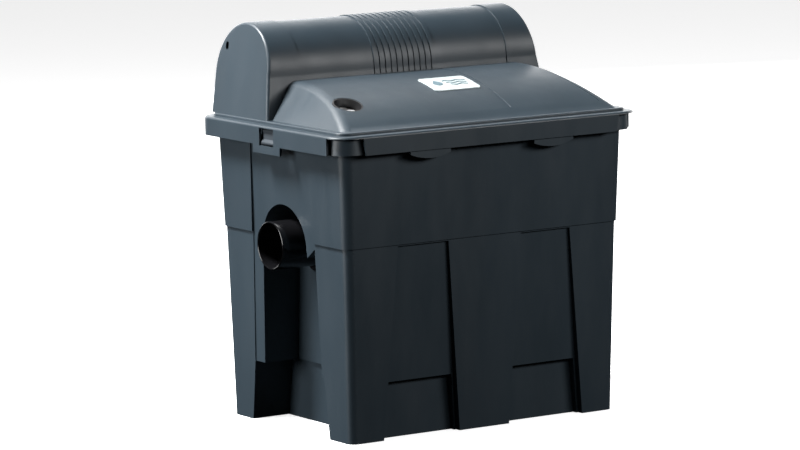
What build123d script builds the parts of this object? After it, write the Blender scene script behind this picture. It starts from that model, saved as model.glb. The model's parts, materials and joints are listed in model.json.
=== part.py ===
"""Flow-through pond filter: a moulded tub with a lift-off lid, a UVC clarifier under the rear hump,
five squeezable foam cartridges, a hose inlet, a pipe outlet and a sludge drain.

Row frame, millimetres: +Z up, -Y is the front, origin on the floor under the centre of the lid's rim.
"""

import os
from math import radians, sqrt, tan

from build123d import *

# ---- driving dimensions ---------------------------------------------------------------------
RIM_LENGTH = 560.0  # lid rim along X
RIM_DEPTH = 410.0  # lid rim along Y
RIM_RADIUS = 35.0
RIM_TOP = 472.0
SKIRT_BOTTOM = 442.5
TUB_TOP = 466.0
STEP_HEIGHT = 299.0  # where the tub's lower half steps inwards
TUB_WALL = 4.0
LID_WALL = 3.5

# The tub's outline at a height is the rim's outline moved in by these amounts.
TUB_INSET_TOP = 20.0
TUB_INSET_STEP = 25.6
TUB_STEP = 2.5
TUB_INSET_BASE = 35.6
SIDE_PANEL_INSETS = {TUB_TOP: 22.0, STEP_HEIGHT: 29.4, 0.0: 37.4}

# Foot panels in the front and back walls.
PANEL_TOP = 296.5
PANEL_FLOOR_TOP = 172.0  # distance of the panel from the middle plane
PANEL_FLOOR_BASE = 159.0
TOE_TOP = 88.0  # the deeper toe recess under each panel
TOE_FLOOR = 151.0

# Pipe channels in the left and right walls.
CHANNEL_FLOOR = 184.0
CHANNEL_FOOT_FLOOR = 179.0
CHANNEL_FOOT_TOP = 94.0
CHANNEL_RADIUS = 62.0
PORT_HEIGHT = 288.0  # axis of the outlet and of the inlet
DRAIN_HEIGHT = 40.0

# Lid.
PLATEAU_TOP = 476.5
PLATEAU_INSET = 15.0
DOME_RADIUS = 400.0
DOME_CENTRE_Y = 25.0
DOME_CENTRE_Z = 134.0
DOME_HALF_LENGTH = 253.0  # at the plateau
DOME_END_SLOPE = 0.73  # how far the end face leans in for each unit of height
SIGHT_X, SIGHT_Y = -203.0, -112.0
SIGHT_RADIUS = 24.0
SIGHT_DEPTH = 82.0  # length of the sight tube, square to the dome
SIGHT_FLANGE = -20.0
FLOAT_TOP = -15.0
CLEARANCE = 0.3

# Rear hump over the UVC clarifier.
HUMP_RADIUS = 78.0
HUMP_Y, HUMP_Z = 114.0, 542.0
HUMP_FRONT_BASE_Y, HUMP_BACK_BASE_Y = 25.0, 190.0
HUMP_HALF_LENGTH = 262.0
HUMP_END_LEAN = 8.5  # degrees
HUMP_WALL = 3.0
BAND_EDGE = 193.0  # the raised end bands start here
BAND_HEIGHT = 1.5
RIB_COUNT = 11
RIB_PITCH = 10.7
HUMP_SCREWS = [(x, y) for x in (-245.0, 0.0, 245.0) for y in (36.0, 180.0)]

# UVC clarifier.
UVC_Y, UVC_Z = 112.0, 526.0
UVC_RADIUS = 40.0
UVC_LEFT, UVC_RIGHT = -176.0, 190.0
UVC_INLET_X, UVC_OUTLET_X = 140.0, -110.0
PORT_SOCKET_BOTTOM = 466.0
CARRIER_TOP = 458.0
CARRIER_THICKNESS = 6.0

# Pipework.
OUTLET_RADIUS = 37.5  # DN 75
OUTLET_END = 277.0
HOSE_RADIUS = 17.0  # inner pipe that feeds the clarifier
DRAIN_RADIUS = 25.0  # DN 50
GASKET = 2.5

# Foam cartridges.
FOAM_COUNT = 5
FOAM_PITCH = 52.0
FOAM_CENTRE_X = -17.0
FOAM_THICKNESS = 50.0
FOAM_WIDTH = 264.0
FOAM_BOTTOM, FOAM_TOP = 50.0, 314.0
FOAM_ROD_Y, FOAM_ROD_RADIUS = 66.0, 4.0
GRID_TOP = 46.0
TRAY_BOTTOM, TRAY_TOP = 350.0, 378.0

# Latches in the middle of the left and right sides.
LATCH_X, LATCH_Z = 272.0, 463.0  # pivot
LATCH_HALF_WIDTH = 17.0
WINDOW_HALF_WIDTH, WINDOW_BOTTOM = 20.0, 441.0

os.makedirs("parts", exist_ok=True)


# ---- helpers --------------------------------------------------------------------------------
def save(part, name):
    """Label a finished piece and write it as its own node."""
    part.label = name
    export_step(part, f"parts/{name}.step")


def rim_outline(height, inset, radius):
    """The rim's rounded rectangle at a height, moved in by an inset."""
    with BuildSketch(Plane.XY.offset(height)) as outline:
        RectangleRounded(RIM_LENGTH - 2 * inset, RIM_DEPTH - 2 * inset, radius)
    return outline.sketch


def tub_body(extra):
    """The tub's outer body without recesses, moved in by extra all round."""
    step = STEP_HEIGHT + extra * 0.75
    with BuildPart() as body:
        upper_top = rim_outline(TUB_TOP, TUB_INSET_TOP + extra, 17 - extra)
        upper_base = rim_outline(step, TUB_INSET_STEP + extra, 16 - extra)
        loft([upper_base, upper_top])
        below_step = TUB_INSET_STEP + TUB_STEP + extra
        lower_top = rim_outline(step, below_step, 14 - extra)
        lower_base = rim_outline(0, TUB_INSET_BASE + extra, 12 - extra)
        loft([lower_base, lower_top])
    return body.part


def front_recesses(grow):
    """The two foot panels and toe recesses of the front wall, each moved out by grow."""
    reach = RIM_DEPTH
    with BuildPart() as recesses:
        with BuildSketch(Plane.XZ.offset(RIM_DEPTH / 2)):
            for side in (-1, 1):
                with BuildLine():
                    Polyline(
                        (side * (67 - grow), PANEL_TOP + grow),
                        (side * (159 + grow), PANEL_TOP + grow),
                        (side * (185 + grow), -grow),
                        (side * (46 - grow), -grow),
                        close=True,
                    )
                make_face()
        extrude(amount=-reach)
        with BuildSketch(Plane.YZ) as floor_profile:
            with BuildLine():
                Polyline(
                    (-RIM_DEPTH, PANEL_TOP + 2 * grow),
                    (-PANEL_FLOOR_TOP + grow, PANEL_TOP + 2 * grow),
                    (-PANEL_FLOOR_BASE + grow, -2 * grow - 1),
                    (-RIM_DEPTH, -2 * grow - 1),
                    close=True,
                )
            make_face()
        extrude(amount=RIM_LENGTH / 2, both=True, mode=Mode.INTERSECT)
    with BuildPart() as toes:
        with BuildSketch(Plane.XZ.offset(RIM_DEPTH / 2)):
            for side in (-1, 1):
                with BuildLine():
                    Polyline(
                        (side * (56 - grow), TOE_TOP + grow),
                        (side * (173 + grow), TOE_TOP + grow),
                        (side * (181 + grow), -grow),
                        (side * (50 - grow), -grow),
                        close=True,
                    )
                make_face()
        extrude(amount=-(RIM_DEPTH / 2 - TOE_FLOOR + grow))
    return recesses.part + toes.part


def channel_outline(grow):
    """The left channel's mouth: an arch round the pipe, a flared front edge and a straight back edge."""
    radius = CHANNEL_RADIUS + grow
    with BuildSketch(Plane.YZ.offset(-RIM_LENGTH / 2)) as mouth:
        with BuildLine():
            back = Line((72 + grow, CHANNEL_FOOT_TOP), (radius, PORT_HEIGHT))
            arch = ThreePointArc(back @ 1, (0, PORT_HEIGHT + radius), (-radius, PORT_HEIGHT))
            Polyline(
                arch @ 1,
                (-radius - 2, 274 + grow),
                (-86 - grow, 290 + grow),
                (-92 - grow, CHANNEL_FOOT_TOP),
                back @ 0,
            )
        make_face()
    return mouth.sketch


def side_channel(grow):
    """The left pipe channel with its wider foot, moved out by grow."""
    with BuildPart() as channel:
        extrude(channel_outline(grow), amount=RIM_LENGTH / 2 - CHANNEL_FLOOR + grow)
        with BuildSketch(Plane.YZ.offset(-RIM_LENGTH / 2)):
            with BuildLine():
                Polyline(
                    (98 + grow, CHANNEL_FOOT_TOP + grow),
                    (-100 - grow, CHANNEL_FOOT_TOP + grow),
                    (-110 - grow, -grow),
                    (111 + grow, -grow),
                    close=True,
                )
            make_face()
        extrude(amount=RIM_LENGTH / 2 - CHANNEL_FOOT_FLOOR + grow)
    return channel.part


def side_panel():
    """What the shallow panel between the left legs takes off the tub's side."""
    with BuildPart() as panel:
        with BuildSketch(Plane.YZ.offset(-RIM_LENGTH / 2)):
            with BuildLine():
                Polyline(
                    (80, TUB_TOP - 6),
                    (88, STEP_HEIGHT),
                    (98, CHANNEL_FOOT_TOP - 2),
                    (-98, CHANNEL_FOOT_TOP - 2),
                    (-88, STEP_HEIGHT),
                    (-80, TUB_TOP - 6),
                    close=True,
                )
            make_face()
        extrude(amount=RIM_LENGTH / 4)
        levels = sorted(SIDE_PANEL_INSETS)
        outlines = [rim_outline(z, SIDE_PANEL_INSETS[z], 10) for z in levels]
        loft(outlines[:2], mode=Mode.SUBTRACT)
        loft(outlines[1:], mode=Mode.SUBTRACT)
    return panel.part


def tube(plane, outer, inner, length):
    """A plain tube along a plane's normal."""
    with BuildPart() as made:
        with BuildSketch(plane):
            Circle(outer)
            Circle(inner, mode=Mode.SUBTRACT)
        extrude(amount=length)
    return made.part


# ---- tub ------------------------------------------------------------------------------------
RECESSES = [front_recesses(0), mirror(front_recesses(0), about=Plane.XZ)]
RECESSES += [side_channel(0), mirror(side_channel(0), about=Plane.YZ)]
INNER_SKINS = [front_recesses(TUB_WALL), mirror(front_recesses(TUB_WALL), about=Plane.XZ)]
INNER_SKINS += [side_channel(TUB_WALL), mirror(side_channel(TUB_WALL), about=Plane.YZ)]
LIP_INSET = 7.5  # the tub's own down-turned lip, under the lid's skirt

with BuildPart() as tub_cavity:
    add(tub_body(TUB_WALL))
    for skin in INNER_SKINS:
        add(skin, mode=Mode.SUBTRACT)
    with Locations((0, 0, -10)):
        Box(RIM_LENGTH, RIM_DEPTH, 20 + 2 * TUB_WALL, mode=Mode.SUBTRACT)

with BuildPart() as container:
    add(tub_body(0))
    for recess in RECESSES:
        add(recess, mode=Mode.SUBTRACT)
    for panel in (side_panel(), mirror(side_panel(), about=Plane.YZ)):
        add(panel, mode=Mode.SUBTRACT)
    # down-turned lip round the mouth
    lip_top = rim_outline(TUB_TOP, LIP_INSET + 1.5, 28)
    lip_base = rim_outline(SKIRT_BOTTOM + 0.5, LIP_INSET, 30)
    loft([lip_base, lip_top])
    under_top = rim_outline(TUB_TOP - 3, LIP_INSET + 4.5, 25)
    under_base = rim_outline(SKIRT_BOTTOM + 0.5, LIP_INSET + 3, 27)
    with BuildPart(mode=Mode.PRIVATE) as under_lip:
        loft([under_base, under_top])
        add(tub_body(0), mode=Mode.SUBTRACT)
    add(under_lip.part, mode=Mode.SUBTRACT)
    # the lip is open where each latch swings, over a low catch on the wall
    for side in (-1, 1):
        with Locations((side * 270, 0, TUB_TOP - 14)):
            Box(13, 2 * LATCH_HALF_WIDTH + 14, 30, mode=Mode.SUBTRACT)
        with Locations((side * 260, 0, 453)):
            Box(7, 2 * LATCH_HALF_WIDTH - 4, 5)
    add(tub_cavity.part, mode=Mode.SUBTRACT)
    # ledges that carry the clarifier's carrier
    ledge_top = CARRIER_TOP - CARRIER_THICKNESS
    for side in (-1, 1):
        with Locations((side * 249, UVC_Y + 3, ledge_top)):
            Box(17, 110, 7, align=(Align.CENTER, Align.CENTER, Align.MAX))
    # ports
    with Locations(Location((-CHANNEL_FLOOR + 2, 0, PORT_HEIGHT), (0, 90, 0))):
        Cylinder(OUTLET_RADIUS + 0.3, 14, mode=Mode.SUBTRACT)
    with Locations(Location((CHANNEL_FLOOR - 2, 0, PORT_HEIGHT), (0, 90, 0))):
        Cylinder(HOSE_RADIUS + 3.3, 14, mode=Mode.SUBTRACT)
    with Locations(Location((CHANNEL_FOOT_FLOOR - 2, 0, DRAIN_HEIGHT), (0, 90, 0))):
        Cylinder(DRAIN_RADIUS + 0.3, 14, mode=Mode.SUBTRACT)
save(container.part, "container")

# ---- lid ------------------------------------------------------------------------------------
PANEL_HALF, PANEL_DEPTH = 65.0, 1.0  # the dome's lowered middle panel


def dome_section(inset):
    """The dome's section in the middle plane, moved in by inset."""
    radius = DOME_RADIUS - inset
    base = PLATEAU_TOP - 5
    front_y = DOME_CENTRE_Y - sqrt(radius**2 - (base - DOME_CENTRE_Z) ** 2)
    crown_y = 33.0 - inset
    crown_z = DOME_CENTRE_Z + sqrt(radius**2 - (crown_y - DOME_CENTRE_Y) ** 2)
    middle_y = (front_y + crown_y) / 2
    middle_z = DOME_CENTRE_Z + sqrt(radius**2 - (middle_y - DOME_CENTRE_Y) ** 2)
    with BuildSketch(Plane.YZ) as section:
        with BuildLine():
            crown = ThreePointArc((front_y, base), (middle_y, middle_z), (crown_y, crown_z))
            Polyline(crown @ 1, (22.5 - inset, base), crown @ 0)
        make_face()
    return section.sketch


def dome_body(inset, rounding):
    """The dome with its leaning ends, moved in by inset."""
    with BuildPart() as body:
        extrude(dome_section(inset), amount=DOME_HALF_LENGTH + 10, both=True)
        half = DOME_HALF_LENGTH - inset * 1.3
        rise = 80
        with BuildSketch(Plane.XZ):
            with BuildLine():
                Polyline(
                    (-half - 5 * DOME_END_SLOPE, PLATEAU_TOP - 5),
                    (half + 5 * DOME_END_SLOPE, PLATEAU_TOP - 5),
                    (half - rise * DOME_END_SLOPE, PLATEAU_TOP + rise),
                    (rise * DOME_END_SLOPE - half, PLATEAU_TOP + rise),
                    close=True,
                )
            make_face()
        extrude(amount=RIM_DEPTH, both=True, mode=Mode.INTERSECT)
        slanted = body.faces().filter_by(GeomType.PLANE)
        ends = slanted.sort_by(Axis.X)[0].edges() + slanted.sort_by(Axis.X)[-1].edges()
        fillet(ends.filter_by(GeomType.LINE, reverse=True), rounding)
    return body.part


SIGHT_LEAN = (SIGHT_Y - DOME_CENTRE_Y) / DOME_RADIUS
SIGHT_Z = DOME_CENTRE_Z + DOME_RADIUS * sqrt(1 - SIGHT_LEAN**2)
SIGHT_PLANE = Plane(
    origin=(SIGHT_X, SIGHT_Y, SIGHT_Z), x_dir=(1, 0, 0), z_dir=(0, SIGHT_LEAN, sqrt(1 - SIGHT_LEAN**2))
)


def dome_slice(outline, depth):
    """The part of the dome's skin under an outline on the plateau, down to a depth."""
    with BuildPart() as slice_body:
        extrude(outline, amount=90)
        with Locations(Location((0, DOME_CENTRE_Y, DOME_CENTRE_Z), (0, 90, 0))):
            Cylinder(DOME_RADIUS - depth, RIM_LENGTH, mode=Mode.SUBTRACT)
    return slice_body.part


def finger_tab():
    """A half-moon grip that hangs just behind the front skirt on the right."""
    with BuildPart() as tab:
        with BuildSketch(Plane.XZ.offset(RIM_DEPTH / 2 - LID_WALL - 3.3)):
            with BuildLine():
                ends = Polyline((150, 437), (150, 447), (77, 447), (77, 436))
                ThreePointArc(ends @ 1, (113.5, 429.5), ends @ 0)
            make_face()
        extrude(amount=3.6)
    return tab.part


with BuildPart() as lid:
    with BuildSketch(Plane.XY.offset(SKIRT_BOTTOM)):
        RectangleRounded(RIM_LENGTH, RIM_DEPTH, RIM_RADIUS)
    extrude(amount=RIM_TOP - SKIRT_BOTTOM)
    fillet(lid.edges().group_by(Axis.Z)[-1], 4)
    with BuildSketch(Plane.XY.offset(RIM_TOP - 1)):
        add(rim_outline(0, PLATEAU_INSET, RIM_RADIUS - PLATEAU_INSET))
    extrude(amount=PLATEAU_TOP - RIM_TOP + 1)
    fillet(lid.edges().group_by(Axis.Z)[-1], 2)
    add(dome_body(0, 20))
    # hollow it
    with BuildSketch(Plane.XY.offset(SKIRT_BOTTOM)):
        add(rim_outline(0, LID_WALL, RIM_RADIUS - LID_WALL))
    extrude(amount=RIM_TOP - LID_WALL - SKIRT_BOTTOM, mode=Mode.SUBTRACT)
    with BuildSketch(Plane.XY.offset(SKIRT_BOTTOM)):
        add(rim_outline(0, PLATEAU_INSET + LID_WALL, RIM_RADIUS - PLATEAU_INSET - LID_WALL))
    extrude(amount=PLATEAU_TOP - LID_WALL - SKIRT_BOTTOM, mode=Mode.SUBTRACT)
    add(dome_body(LID_WALL, 17), mode=Mode.SUBTRACT)
    # grips on the front, guards under the latch windows
    add(finger_tab())
    add(mirror(finger_tab(), about=Plane.YZ))
    for side in (-1, 1):
        with Locations((side * (RIM_LENGTH / 2 - LID_WALL / 2), 0, 436.5)):
            Box(LID_WALL, 77, 14)
        with Locations((side * RIM_LENGTH / 2, 0, WINDOW_BOTTOM)):
            window_height = RIM_TOP - LID_WALL - WINDOW_BOTTOM
            window_align = (Align.CENTER, Align.CENTER, Align.MIN)
            Box(20, 2 * WINDOW_HALF_WIDTH, window_height, align=window_align, mode=Mode.SUBTRACT)
        for end in (-1, 1):
            with Locations((side * 272.6, end * (LATCH_HALF_WIDTH + 2.05), LATCH_Z + 0.8)):
                Box(8.2, 3.5, 9.6)
        with Locations(Location((side * LATCH_X, 0, LATCH_Z), (90, 0, 0))):
            Cylinder(1.8, 60, mode=Mode.SUBTRACT)
    # open front corners in the skirt
    corner_foot, corner_head = 231.0, 235.0
    with BuildPart(mode=Mode.PRIVATE) as corner_blocks:
        with BuildSketch(Plane.XZ.offset(170)):
            for side in (-1, 1):
                with BuildLine():
                    Polyline(
                        (side * corner_foot, SKIRT_BOTTOM),
                        (side * corner_head, RIM_TOP - LID_WALL),
                        (side * RIM_LENGTH, RIM_TOP - LID_WALL),
                        (side * RIM_LENGTH, SKIRT_BOTTOM),
                        close=True,
                    )
                make_face()
        extrude(amount=60)
    add(corner_blocks.part, mode=Mode.SUBTRACT)
    # lowered middle panel and the outline groove of the dome
    with BuildSketch(Plane.XY.offset(PLATEAU_TOP + 2), mode=Mode.PRIVATE) as middle_panel:
        with Locations((0, -66)):
            RectangleRounded(2 * PANEL_HALF, 190, 4)
    add(dome_slice(middle_panel.sketch, PANEL_DEPTH), mode=Mode.SUBTRACT)
    with BuildSketch(Plane.XY.offset(PLATEAU_TOP + 2), mode=Mode.PRIVATE) as groove:
        with BuildLine():
            Polyline((205, 17), (210, -67), (217, -117), (228, -163))
        trace(line_width=1.6)
    add(dome_slice(groove.sketch, 0.9), mode=Mode.SUBTRACT)
    # boss and hole of the sight tube, square to the dome
    with BuildPart(mode=Mode.PRIVATE) as sight_boss:
        with BuildSketch(SIGHT_PLANE.offset(SIGHT_FLANGE)):
            Circle(SIGHT_RADIUS + 4.5)
        extrude(amount=40)
        add(dome_body(1, 19), mode=Mode.INTERSECT)
    add(sight_boss.part)
    with BuildSketch(SIGHT_PLANE.offset(-60)) as sight_hole:
        Circle(SIGHT_RADIUS - 0.2)
    extrude(sight_hole.sketch, amount=80, mode=Mode.SUBTRACT)
    # opening under the hump and the holes for its screws
    with Locations((0, 109, PLATEAU_TOP)):
        Box(464, 118, 20, mode=Mode.SUBTRACT)
    with Locations(*[(x, y, PLATEAU_TOP) for x, y in HUMP_SCREWS]):
        Cylinder(2.3, 20, mode=Mode.SUBTRACT)
save(lid.part, "lid")

# ---- hump cover -----------------------------------------------------------------------------
def hump_body(shrink, half_length, rounding=0.0):
    """The hump's solid between two leaning ends, moved in by shrink, with rounded end edges."""
    radius = HUMP_RADIUS - shrink
    with BuildPart() as body:
        with BuildSketch(Plane.YZ):
            with BuildLine():
                arc = ThreePointArc(
                    (HUMP_Y - radius, HUMP_Z), (HUMP_Y, HUMP_Z + radius), (HUMP_Y + radius, HUMP_Z)
                )
                Polyline(
                    arc @ 1,
                    (HUMP_BACK_BASE_Y - shrink, PLATEAU_TOP),
                    (HUMP_FRONT_BASE_Y + shrink, PLATEAU_TOP),
                    arc @ 0,
                )
            make_face()
        extrude(amount=half_length, both=True)
        shoulders = body.edges().filter_by(Axis.X)
        fillet(shoulders.filter_by(lambda edge: abs(edge.center().Z - HUMP_Z) < 1), 40)
        with BuildSketch(Plane.XZ):
            lean = tan(radians(HUMP_END_LEAN)) * 160
            with BuildLine():
                Polyline(
                    (-half_length, PLATEAU_TOP),
                    (half_length, PLATEAU_TOP),
                    (half_length - lean, PLATEAU_TOP + 160),
                    (lean - half_length, PLATEAU_TOP + 160),
                    close=True,
                )
            make_face()
        extrude(amount=RIM_DEPTH, both=True, mode=Mode.INTERSECT)
        if rounding:
            by_length = body.faces().filter_by(GeomType.PLANE).sort_by(Axis.X)
            rims = by_length[0].edges() + by_length[-1].edges()
            fillet(rims.filter_by(lambda edge: edge.center().Z > PLATEAU_TOP + 5), rounding)
    return body.part


def cross_band(start, stop):
    """A slab across the row between two X positions."""
    with BuildPart() as slab:
        with Locations(((start + stop) / 2, HUMP_Y, HUMP_Z)):
            Box(stop - start, RIM_DEPTH, 200)
    return slab.part


with BuildPart() as hump_cover:
    full_hump = hump_body(0, HUMP_HALF_LENGTH, 5)
    with BuildPart(mode=Mode.PRIVATE) as middle_span:
        add(hump_body(BAND_HEIGHT, HUMP_HALF_LENGTH))
        add(cross_band(-BAND_EDGE - 1, BAND_EDGE + 1), mode=Mode.INTERSECT)
    add(middle_span.part)
    for side in (-1, 1):
        with BuildPart(mode=Mode.PRIVATE) as end_band:
            add(full_hump)
            reach = sorted((side * BAND_EDGE, side * RIM_LENGTH))
            add(cross_band(*reach), mode=Mode.INTERSECT)
        add(end_band.part)
    for step in range(RIB_COUNT):
        middle = (step - (RIB_COUNT - 1) / 2) * RIB_PITCH
        with BuildPart(mode=Mode.PRIVATE) as rib:
            add(full_hump)
            add(cross_band(middle - 3.4, middle + 3.4), mode=Mode.INTERSECT)
        add(rib.part)
    add(hump_body(BAND_HEIGHT + HUMP_WALL, HUMP_HALF_LENGTH - HUMP_WALL), mode=Mode.SUBTRACT)
    for x, y in HUMP_SCREWS:
        with BuildPart(mode=Mode.PRIVATE) as boss:
            with Locations((x, y, PLATEAU_TOP)):
                Cylinder(7, 20, align=(Align.CENTER, Align.CENTER, Align.MIN))
            add(hump_body(1, HUMP_HALF_LENGTH - 1), mode=Mode.INTERSECT)
        add(boss.part)
    with Locations(*[(x, y, PLATEAU_TOP) for x, y in HUMP_SCREWS]):
        Cylinder(2.0, 30, mode=Mode.SUBTRACT)
    with BuildSketch(Plane.YZ.offset(-RIM_LENGTH / 2)):
        with Locations((163, 581)):
            SlotOverall(13, 8, rotation=90)
    extrude(amount=60, mode=Mode.SUBTRACT)
    with Locations(Location((RIM_LENGTH / 2, 165, 497), (0, 90, 0))):
        Cylinder(5, 60, mode=Mode.SUBTRACT)
save(hump_cover.part, "hump_cover")

with BuildPart() as cover_screws:
    with Locations(*[(x, y, PLATEAU_TOP - LID_WALL) for x, y in HUMP_SCREWS]):
        Cylinder(1.95, 17, align=(Align.CENTER, Align.CENTER, Align.MIN))
        Cylinder(4, 2.4, align=(Align.CENTER, Align.CENTER, Align.MAX))
        with Locations((0, 0, -2.4)):
            Box(5, 1, 1.6, mode=Mode.SUBTRACT)
            Box(1, 5, 1.6, mode=Mode.SUBTRACT)
save(cover_screws.part, "cover_screws")

with BuildPart() as lid_seal:
    with BuildSketch(Plane.XY.offset(TUB_TOP + CLEARANCE)):
        add(rim_outline(0, 12.5, 22))
        add(rim_outline(0, 23.0, 13), mode=Mode.SUBTRACT)
    extrude(amount=RIM_TOP - LID_WALL - TUB_TOP - CLEARANCE)
    with BuildSketch(Plane.XY.offset(TUB_TOP + CLEARANCE)):
        add(rim_outline(0, 16.0, 19))
        add(rim_outline(0, 18.0, 17), mode=Mode.SUBTRACT)
    extrude(amount=1, mode=Mode.SUBTRACT)
save(lid_seal.part, "lid_seal")

# ---- latches --------------------------------------------------------------------------------
for side, name in ((-1, "latch_left"), (1, "latch_right")):
    with BuildPart() as latch:
        with BuildSketch(Plane.XZ):
            with BuildLine():
                Polyline(
                    (side * 270.3, LATCH_Z),
                    (side * 270.3, 449.5),
                    (side * 264.6, 447),
                    (side * 264.6, 444.6),
                    (side * 270.3, 442.4),
                    (side * 274, 442.2),
                    (side * 278.2, 444.5),
                    (side * 278.2, 447.0),
                    (side * 274, 451),
                    (side * 274, LATCH_Z),
                    close=True,
                )
            make_face()
            with Locations((side * LATCH_X, LATCH_Z)):
                Circle(3.2)
        extrude(amount=LATCH_HALF_WIDTH, both=True)
        with Locations(Location((side * LATCH_X, 0, LATCH_Z), (90, 0, 0))):
            Cylinder(1.8, 60, mode=Mode.SUBTRACT)
    save(latch.part, name)

with BuildPart() as latch_pins:
    with Locations(*[Location((side * LATCH_X, 0, LATCH_Z), (90, 0, 0)) for side in (-1, 1)]):
        Cylinder(1.75, 2 * LATCH_HALF_WIDTH + 7.6)
save(latch_pins.part, "latch_pins")

# ---- sight tube, float and badge --------------------------------------------------------------
with BuildPart() as sight_tube:
    with BuildSketch(SIGHT_PLANE.offset(-SIGHT_DEPTH)):
        Circle(SIGHT_RADIUS - 0.3)
    extrude(amount=SIGHT_DEPTH + 10)
    with BuildSketch(SIGHT_PLANE.offset(SIGHT_FLANGE - 3)):
        Circle(SIGHT_RADIUS + 4.5)
    extrude(amount=3)
    with BuildSketch(SIGHT_PLANE.offset(4 - SIGHT_DEPTH)):
        Circle(SIGHT_RADIUS - 2.5)
    extrude(amount=SIGHT_DEPTH + 10, mode=Mode.SUBTRACT)
    with BuildSketch(SIGHT_PLANE.offset(-SIGHT_DEPTH - 1)):
        with PolarLocations(14, 6):
            Circle(3)
    extrude(amount=6, mode=Mode.SUBTRACT)
    with Locations(Location((0, DOME_CENTRE_Y, DOME_CENTRE_Z), (0, 90, 0))):
        Cylinder(DOME_RADIUS - 0.6, RIM_LENGTH, mode=Mode.INTERSECT)
save(sight_tube.part, "sight_tube")

with BuildPart() as indicator_float:
    with BuildSketch(Plane.XZ):
        with BuildLine():
            Polyline(
                (0, FLOAT_TOP), (20.8, FLOAT_TOP), (20.8, FLOAT_TOP - 4), (3, FLOAT_TOP - 6),
                (3, -42), (17, -46), (19, -50), (19, -74), (17, -77), (0, -77), close=True,
            )
        make_face()
    revolve(axis=Axis.Z)
    fillet(indicator_float.edges().group_by(Axis.Z)[-1], 1)
save(indicator_float.part.moved(SIGHT_PLANE.location), "indicator_float")

with BuildPart() as badge_plate:
    with BuildSketch(Plane.XY.offset(PLATEAU_TOP)):
        with Locations((12, -67.5)):
            RectangleRounded(84, 55, 6)
    extrude(amount=90)
    with Locations(Location((0, DOME_CENTRE_Y, DOME_CENTRE_Z), (0, 90, 0))):
        Cylinder(DOME_RADIUS - PANEL_DEPTH + 1.4, RIM_LENGTH, mode=Mode.INTERSECT)
        Cylinder(DOME_RADIUS - PANEL_DEPTH, RIM_LENGTH, mode=Mode.SUBTRACT)
save(badge_plate.part, "badge_plate")

# ---- outlet on the left -----------------------------------------------------------------------
LEFT_PORT = Plane(origin=(0, 0, PORT_HEIGHT), x_dir=(0, 1, 0), z_dir=(-1, 0, 0))
RIGHT_PORT = Plane(origin=(0, 0, PORT_HEIGHT), x_dir=(0, 1, 0), z_dir=(1, 0, 0))
DRAIN_PORT = Plane(origin=(0, 0, DRAIN_HEIGHT), x_dir=(0, 1, 0), z_dir=(1, 0, 0))


def ring(plane, start, stop, outer, inner):
    """A ring along a port's axis between two distances from the middle of the row."""
    return tube(plane.offset(start), outer, inner, stop - start)


def nut(plane, start, stop, outer, inner):
    """A ring with eight grip lobes, used for every hand-tightened nut."""
    with BuildPart() as made:
        with BuildSketch(plane.offset(start)):
            Circle(outer - 2)
            with PolarLocations(outer - 4, 8):
                Circle(4)
            Circle(inner, mode=Mode.SUBTRACT)
        extrude(amount=stop - start)
    return made.part


with BuildPart() as outlet_pipe:
    add(ring(LEFT_PORT, 166, OUTLET_END, OUTLET_RADIUS, OUTLET_RADIUS - 3))
    add(ring(LEFT_PORT, CHANNEL_FLOOR + GASKET, CHANNEL_FLOOR + GASKET + 4, 50, OUTLET_RADIUS - 1))
    chamfer(outlet_pipe.edges().group_by(Axis.X)[0], 1)
save(outlet_pipe.part, "outlet_pipe")
gasket_end = CHANNEL_FLOOR + GASKET
save(ring(LEFT_PORT, CHANNEL_FLOOR, gasket_end, 49, OUTLET_RADIUS + 0.1), "outlet_gasket")
wall_inside = CHANNEL_FLOOR - TUB_WALL
save(nut(LEFT_PORT, 171, wall_inside, 52, OUTLET_RADIUS + 0.1), "outlet_locknut")

# ---- inlet on the right -----------------------------------------------------------------------
with BuildPart() as inlet_bulkhead:
    add(ring(RIGHT_PORT, 160, 206, HOSE_RADIUS + 3, HOSE_RADIUS - 2))
    add(ring(RIGHT_PORT, gasket_end, gasket_end + 4, 31, HOSE_RADIUS))
save(inlet_bulkhead.part, "inlet_bulkhead")
save(ring(RIGHT_PORT, CHANNEL_FLOOR, gasket_end, 30, HOSE_RADIUS + 3.1), "inlet_gasket")
save(nut(RIGHT_PORT, 172, wall_inside, 31, HOSE_RADIUS + 3.1), "inlet_locknut")

with BuildPart() as hose_tail:
    with BuildSketch(Plane.XZ):
        with BuildLine():
            Polyline(
                (208, 15), (208, 22), (212, 22), (212, 19), (219, 19), (221, 20.2), (225, 19),
                (225, 16), (235, 16), (237, 17.2), (241, 16), (241, 12.7), (252, 12.7),
                (254, 13.9), (258, 12.7), (270, 12.7), (270, 10), (214, 10), close=True,
            )
        make_face()
    revolve(axis=Axis.X)
save(hose_tail.part.moved(Location((0, 0, PORT_HEIGHT))), "hose_tail")
save(ring(RIGHT_PORT, 206, 208, 21.5, HOSE_RADIUS), "inlet_washer")

with BuildPart() as union_nut:
    add(nut(RIGHT_PORT, 196, 216, 30, HOSE_RADIUS + 3.1))
    add(ring(RIGHT_PORT, 205, 212, 22.1, 5), mode=Mode.SUBTRACT)
save(union_nut.part, "union_nut")

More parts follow.
